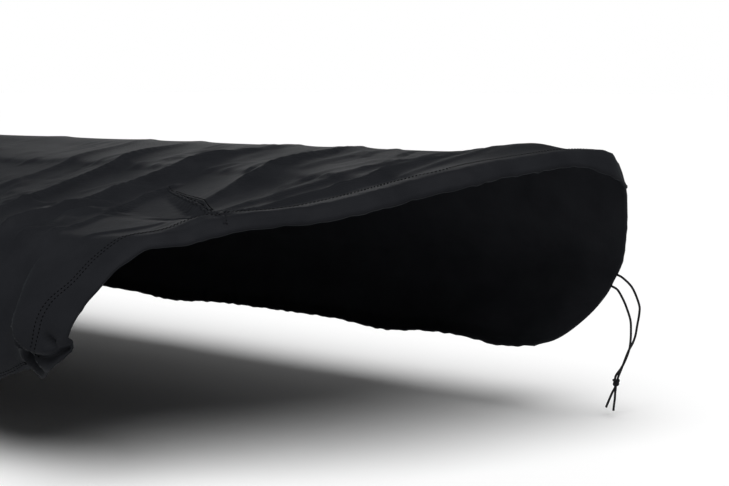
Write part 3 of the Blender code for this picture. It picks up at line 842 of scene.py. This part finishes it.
def spun_thread():
    """Spun polyester sewing thread, dyed black: matt and round. Its colour is drawn far darker than the
    knit's, as painted shade where the stitches sink into the cloth.
    """
    material, tree, shader = new_material(
        "spun_thread_black", roughness=0.80, sheen=0.0, sheen_roughness=0.5, specular=0.01,
    )
    place = add_node(tree, "ShaderNodeTexCoord")
    # The near-black tone is the thread's own black dye with painted shade of the sunk stitches added.
    tone = two_tones(tree, cloudy(tree, place, 900.0, 2.0), "#020202", "#060607")
    tree.links.new(tone.outputs["Color"], shader.inputs["Base Color"])
    return material


def braided_cord():
    """Braided polyester cord, dyed black: fine slanting strands, drawn 0.6 mm apart, with a dull shine."""
    material, tree, shader = new_material(
        "braided_cord_black", roughness=0.55, sheen=0.02, sheen_roughness=0.45, specular=0.06,
    )
    uv = add_node(tree, "ShaderNodeUVMap", {"uv_map": "braid"})
    strands = wave_bands(tree, uv, "DIAGONAL", BRAID, {})
    # The strands' dark and light bands in the colour are painted shade in the grooves between strands,
    # beside their real bump.
    tone = two_tones(tree, strands, "#0c0c0d", "#232326")
    bump = add_node(
        tree, "ShaderNodeBump", None, {"Strength": 0.5, "Distance": 0.0002},
        {"Height": strands.outputs["Fac"]},
    )
    tree.links.new(tone.outputs["Color"], shader.inputs["Base Color"])
    tree.links.new(bump.outputs["Normal"], shader.inputs["Normal"])
    return material


def add_piece(name, mesh, material):
    """Link a piece at the origin with its material."""
    piece = bpy.data.objects.new(name, mesh)
    bpy.context.scene.collection.objects.link(piece)
    if material is not None:
        mesh.materials.clear()
        mesh.materials.append(material)
    return piece


def thicken(piece, thickness):
    """Give a sheet its thickness inwards."""
    wall = piece.modifiers.new("thickness", "SOLIDIFY")
    wall.thickness = thickness
    wall.offset = -1.0
    wall.use_rim = True
    keep_result(piece)


def keep_result(piece):
    """Turn what a piece's modifiers make into its own mesh."""
    piece.update_tag()
    bpy.context.view_layer.update()
    result = bpy.data.meshes.new_from_object(piece.evaluated_get(bpy.context.evaluated_depsgraph_get()))
    piece.modifiers.clear()
    piece.data = result
    result.shade_smooth()


def route_mesh(name, points, ups, width, height, sides):
    """A tube or flat welt along points: an oval of the given width and height, with closed ends."""
    points = np.asarray(points, float)
    tangents = unit(np.gradient(points, axis=0))
    across = unit(np.cross(tangents, np.asarray(ups, float)))
    ups = np.cross(across, tangents)
    turn = 2.0 * math.pi * np.arange(sides) / sides
    ring = across[:, None, :] * np.cos(turn)[None, :, None] * width / 2.0
    ring = ring + ups[:, None, :] * np.sin(turn)[None, :, None] * height / 2.0
    verts = (points[:, None, :] + ring).reshape(-1, 3)
    run = run_along(points)
    faces = []
    places = []
    for step in range(len(points) - 1):
        for spot in range(sides):
            after = (spot + 1) % sides
            here = step * sides + spot
            next_one = step * sides + after
            faces.append([here, next_one, next_one + sides, here + sides])
            a = spot * math.pi * width / sides
            b = (spot + 1) * math.pi * width / sides
            places += [(a, run[step]), (b, run[step]), (b, run[step + 1]), (a, run[step + 1])]
    first = list(range(sides))[::-1]
    last = [(len(points) - 1) * sides + spot for spot in range(sides)]
    faces += [first, last]
    places += [(0.0, 0.0)] * (2 * sides)
    mesh = bpy.data.meshes.new(name)
    mesh.from_pydata(verts.tolist(), [], faces)
    for layer_name in ("braid", "weave"):
        mesh.uv_layers.new(name=layer_name).data.foreach_set("uv", np.array(places, "f").ravel())
    work = bmesh.new()
    work.from_mesh(mesh)
    bmesh.ops.recalc_face_normals(work, faces=work.faces)
    work.to_mesh(mesh)
    work.free()
    mesh.shade_smooth()
    return mesh


def smooth_route(points, step):
    """Points at an even step on one smooth curve through a cord's own points."""
    knots = np.asarray(points, float) - SEAT
    knots = np.vstack([2 * knots[0] - knots[1], knots, 2 * knots[-1] - knots[-2]])
    fine = []
    parts = 20
    for a, b, c, d in zip(knots, knots[1:], knots[2:], knots[3:]):
        for t in np.arange(parts) / parts:
            bend = (2 * a - 5 * b + 4 * c - d) * t * t + (3 * b - a - 3 * c + d) * t ** 3
            fine.append(0.5 * (2 * b + (c - a) * t + bend))
    fine.append(knots[-2])
    fine = np.array(fine)
    run = run_along(fine)
    even = np.linspace(0.0, run[-1], max(4, round(run[-1] / step)) + 1)
    return np.stack([np.interp(even, run, fine[:, axis]) for axis in range(3)], axis=1)


def stitch_tree(thread):
    """A tree that lays one stitch at each even step along a sewn line, flat on the cloth."""
    tree = bpy.data.node_groups.new("stitches", "GeometryNodeTree")
    tree.interface.new_socket("Geometry", in_out="INPUT", socket_type="NodeSocketGeometry")
    for name in ("Stitch Length", "Stitch Step", "Thread Width"):
        tree.interface.new_socket(name, in_out="INPUT", socket_type="NodeSocketFloat")
    tree.interface.new_socket("Geometry", in_out="OUTPUT", socket_type="NodeSocketGeometry")
    start = add_node(tree, "NodeGroupInput")
    curve = add_node(tree, "GeometryNodeMeshToCurve", links={"Mesh": start.outputs["Geometry"]})
    spread = add_node(
        tree, "GeometryNodeCurveToPoints", {"mode": "LENGTH"}, None,
        {"Curve": curve.outputs["Curve"], "Length": start.outputs["Stitch Step"]},
    )
    up = add_node(tree, "GeometryNodeInputNamedAttribute", {"data_type": "FLOAT_VECTOR"}, {"Name": "up"})
    face_up = add_node(
        tree, "FunctionNodeAlignEulerToVector", {"axis": "Z"}, None, {"Vector": up.outputs["Attribute"]},
    )
    face_along = add_node(
        tree, "FunctionNodeAlignEulerToVector", {"axis": "X", "pivot_axis": "Z"}, None,
        {"Rotation": face_up.outputs["Rotation"], "Vector": spread.outputs["Tangent"]},
    )
    bead = add_node(tree, "GeometryNodeMeshUVSphere", None, {"Segments": 6, "Rings": 4, "Radius": 0.5})
    width = start.outputs["Thread Width"]
    size = add_node(
        tree, "ShaderNodeCombineXYZ", None, None,
        {"X": start.outputs["Stitch Length"], "Y": width, "Z": width},
    )
    lay = add_node(
        tree, "GeometryNodeInstanceOnPoints", None, None,
        {
            "Points": spread.outputs["Points"], "Instance": bead.outputs["Mesh"],
            "Rotation": face_along.outputs["Rotation"], "Scale": size.outputs["Vector"],
        },
    )
    real = add_node(tree, "GeometryNodeRealizeInstances", links={"Geometry": lay.outputs["Instances"]})
    colour = add_node(
        tree, "GeometryNodeSetMaterial", None, {"Material": thread}, {"Geometry": real.outputs["Geometry"]},
    )
    add_node(tree, "NodeGroupOutput", links={"Geometry": colour.outputs["Geometry"]})
    return tree


def sew(name, lines, thread):
    """Lay stitches along sewn lines, each a list of points with the cloth's normal there."""
    verts = []
    edges = []
    ups = []
    for points, normals in lines:
        first = len(verts)
        verts += [tuple(point) for point in points]
        ups += [tuple(normal) for normal in normals]
        edges += [(first + n, first + n + 1) for n in range(len(points) - 1)]
    mesh = bpy.data.meshes.new(name)
    mesh.from_pydata(verts, edges, [])
    mesh.attributes.new("up", "FLOAT_VECTOR", "POINT").data.foreach_set("vector", np.array(ups, "f").ravel())
    guide = add_piece(name, mesh, None)
    tree = stitch_tree(thread)
    modifier = guide.modifiers.new("stitches", "NODES")
    modifier.node_group = tree
    sizes = {"Stitch Length": STITCH, "Stitch Step": STITCH_STEP, "Thread Width": THREAD}
    for item in tree.interface.items_tree:
        if item.name in sizes:
            modifier[item.identifier] = sizes[item.name]
    keep_result(guide)
    return guide


def sewn_line(grid, row):
    """A line of sewing inside the hem's edge: along the front, over the mouth and back along the rear."""
    level = len(LEVELS) - 1.0 - row / HEM_GIRTH_PER_LEVEL
    top = level - HEM_RISE
    side = row + HEM_BEND
    turns = np.linspace(0.0, math.pi / 2.0, 7)
    corner = [(level - HEM_RISE * (1.0 - math.cos(t)), row + HEM_BEND * (1.0 - math.sin(t))) for t in turns]
    first_step = 0.1
    path = [(FRONT, level, behind) for behind in np.arange(HEM_LEFT_END, side, -HEM_STEP)]
    path += [(FRONT, *place) for place in corner]
    path += [(FRONT, at, row) for at in np.arange(top - first_step, 0.0, -HEM_LEVEL_STEP)]
    path += [(REAR, at, row) for at in np.arange(0.0, top, HEM_LEVEL_STEP)]
    path += [(REAR, *place) for place in corner[::-1]]
    path += [(REAR, level, behind) for behind in np.arange(side, HEM_LEFT_END, HEM_STEP)]
    return [
        np.array([at_grid(grid, field, at, behind, half) for half, at, behind in path])
        for field in ("points", "normals")
    ]


def end_line(grid, row):
    """A line of sewing round the left end's hem."""
    level = len(LEVELS) - 1.0 - row / HEM_GIRTH_PER_LEVEL
    first = int(np.searchsorted(grid["levels"], level))
    count = len(grid["marks"])
    last = grid["points"].shape[1] - count
    return grid["points"][first, count - 1:last + 1], grid["normals"][first, count - 1:last + 1]


def seam_pieces(grid, cloth, thread):
    """The corner seam's welts and the stitches that hold them down."""
    lines = []
    meshes = []
    for seam in SEAMS:
        places = np.array(seam["places"])
        run = run_along(places)
        even = np.linspace(0.0, run[-1], round(run[-1] / WELT_STEP) + 1)
        route = np.stack([np.interp(even, run, places[:, axis]) for axis in (0, 1)], axis=1)
        spots = [on_top(grid, place) for place in route]
        points = np.array([spot[0] for spot in spots])
        normals = np.array([spot[1] for spot in spots])
        meshes.append(route_mesh(seam["name"], points, normals, WELT_WIDTH, WELT_HEIGHT, WELT_SIDES))
        across = unit(np.cross(np.gradient(points, axis=0), normals))
        lines.append((points - across * WELT_WIDTH * STITCHES_BESIDE, normals))
    welts = join_meshes("corner_welts", meshes, cloth)
    return welts, sew("corner_sewing", lines, thread)


def join_meshes(name, meshes, material):
    """One piece from a few meshes."""
    work = bmesh.new()
    for mesh in meshes:
        work.from_mesh(mesh)
        bpy.data.meshes.remove(mesh)
    joined = bpy.data.meshes.new(name)
    work.to_mesh(joined)
    work.free()
    joined.shade_smooth()
    return add_piece(name, joined, material)


def build_camera():
    """The camera at the photograph's angle."""
    data = bpy.data.cameras.new("camera")
    data.lens = CAMERA_LENS
    data.sensor_width = SENSOR
    data.clip_start = 0.01
    data.clip_end = 100.0
    camera = bpy.data.objects.new("camera", data)
    camera.location = Vector(CAMERA_PLACE) - Vector(SEAT)
    camera.rotation_euler = (math.pi / 2.0 - CAMERA_PITCH, 0.0, CAMERA_YAW)
    bpy.context.scene.collection.objects.link(camera)
    bpy.context.scene.camera = camera


def build_stage():
    """A plain pale floor, a surround that the camera sees as plain white, and the two suns."""
    low = min(point[2] for point in TAIL_A + TAIL_B) - SEAT[2] - FLOOR_DROP
    mesh = bpy.data.meshes.new("floor")
    corners = [(x * FLOOR_REACH, y * FLOOR_REACH, low) for x, y in ((-1, -1), (1, -1), (1, 1), (-1, 1))]
    mesh.from_pydata(corners, [], [(0, 1, 2, 3)])
    material, _, shader = new_material("pale_floor", 0.9, sheen=0.0, sheen_roughness=0.5, specular=0.2)
    shader.inputs["Base Color"].default_value = srgb("#fefefe")
    floor = add_piece("floor", mesh, material)
    world = bpy.context.scene.world or bpy.data.worlds.new("surround")
    bpy.context.scene.world = world
    world.use_nodes = True
    tree = world.node_tree
    fill = tree.nodes["Background"]
    fill.inputs["Strength"].default_value = WORLD_FILL
    shown = add_node(tree, "ShaderNodeBackground")
    for background in (fill, shown):
        background.inputs["Color"].default_value = (1.0, 1.0, 1.0, 1.0)
    path = add_node(tree, "ShaderNodeLightPath")
    mix = add_node(
        tree, "ShaderNodeMixShader", None, None,
        {"Fac": path.outputs["Is Camera Ray"], 1: fill.outputs[0], 2: shown.outputs[0]},
    )
    tree.links.new(mix.outputs["Shader"], tree.nodes["World Output"].inputs["Surface"])
    for light in LIGHTS:
        lamp = bpy.data.lights.new(light["name"], "SUN")
        lamp.angle = math.radians(light["spread"])
        lamp.energy = light["power"]
        made = bpy.data.objects.new(light["name"], lamp)
        turn = math.radians(light["turn"])
        rise = math.radians(light["rise"])
        come = Vector((math.cos(turn) * math.cos(rise), math.sin(turn) * math.cos(rise), math.sin(rise)))
        made.rotation_euler = come.to_track_quat("Z", "Y").to_euler()
        bpy.context.scene.collection.objects.link(made)
    bpy.context.scene.view_settings.view_transform = "Standard"


def build_cords(cord_material):
    """Two cords, each from the hem through the knot to its free end, and the knot between them."""
    route = []
    for turn in np.linspace(0.0, 2.0 * math.pi, KNOT_POINTS):
        route.append((
            KNOT_MIDDLE[0] + KNOT_RADIUS * (math.sin(turn) + 2.0 * math.sin(2.0 * turn)) / KNOT_SPREAD,
            KNOT_MIDDLE[1] - KNOT_RADIUS * math.sin(3.0 * turn) * KNOT_DEPTH,
            KNOT_MIDDLE[2] + KNOT_RADIUS * (math.cos(turn) - 2.0 * math.cos(2.0 * turn)) / KNOT_SPREAD,
        ))
    route = np.array(route) - SEAT
    ups = route - route.mean(axis=0)
    ups[np.linalg.norm(ups, axis=1) < 1e-5] = (0.0, 1.0, 0.0)
    mesh = route_mesh("cord_knot", route, ups + 1e-6, CORD, CORD, CORD_SIDES)
    knot = add_piece("cord_knot", mesh, cord_material)
    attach(knot, "root")
    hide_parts("drawcord_knot")
    for letter, strand, tail in (("a", STRAND_A, TAIL_A), ("b", STRAND_B, TAIL_B)):
        route = smooth_route(strand + tail, CORD_STEP)
        ups = np.tile(CORD_UP, (len(route), 1))
        mesh = route_mesh("cord_" + letter, route, ups, CORD, CORD, CORD_SIDES)
        cord = add_piece("cord_" + letter, mesh, cord_material)
        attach(cord, "root")
        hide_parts("drawcord_strand_" + letter, "drawcord_tail_" + letter)


def build_cover(cloth, thread):
    """The cloth with its hem sewing and corner seam."""
    grid = cover_grid()
    cover = add_piece("cover_sheet", sheet_mesh(grid), cloth)
    thicken(cover, CLOTH)
    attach(cover, "root")
    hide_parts("cover_cloth")
    lines = [line(grid, row) for row in HEM_ROWS for line in (sewn_line, end_line)]
    sewing = sew("hem_sewing", lines, thread)
    welts, seam_sewing = seam_pieces(grid, cloth, thread)
    sewn = [sewing, welts, seam_sewing]
    for piece in sewn:
        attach(piece, "root")


build_camera()
build_cords(braided_cord())
build_cover(stretch_knit(), spun_thread())
build_stage()
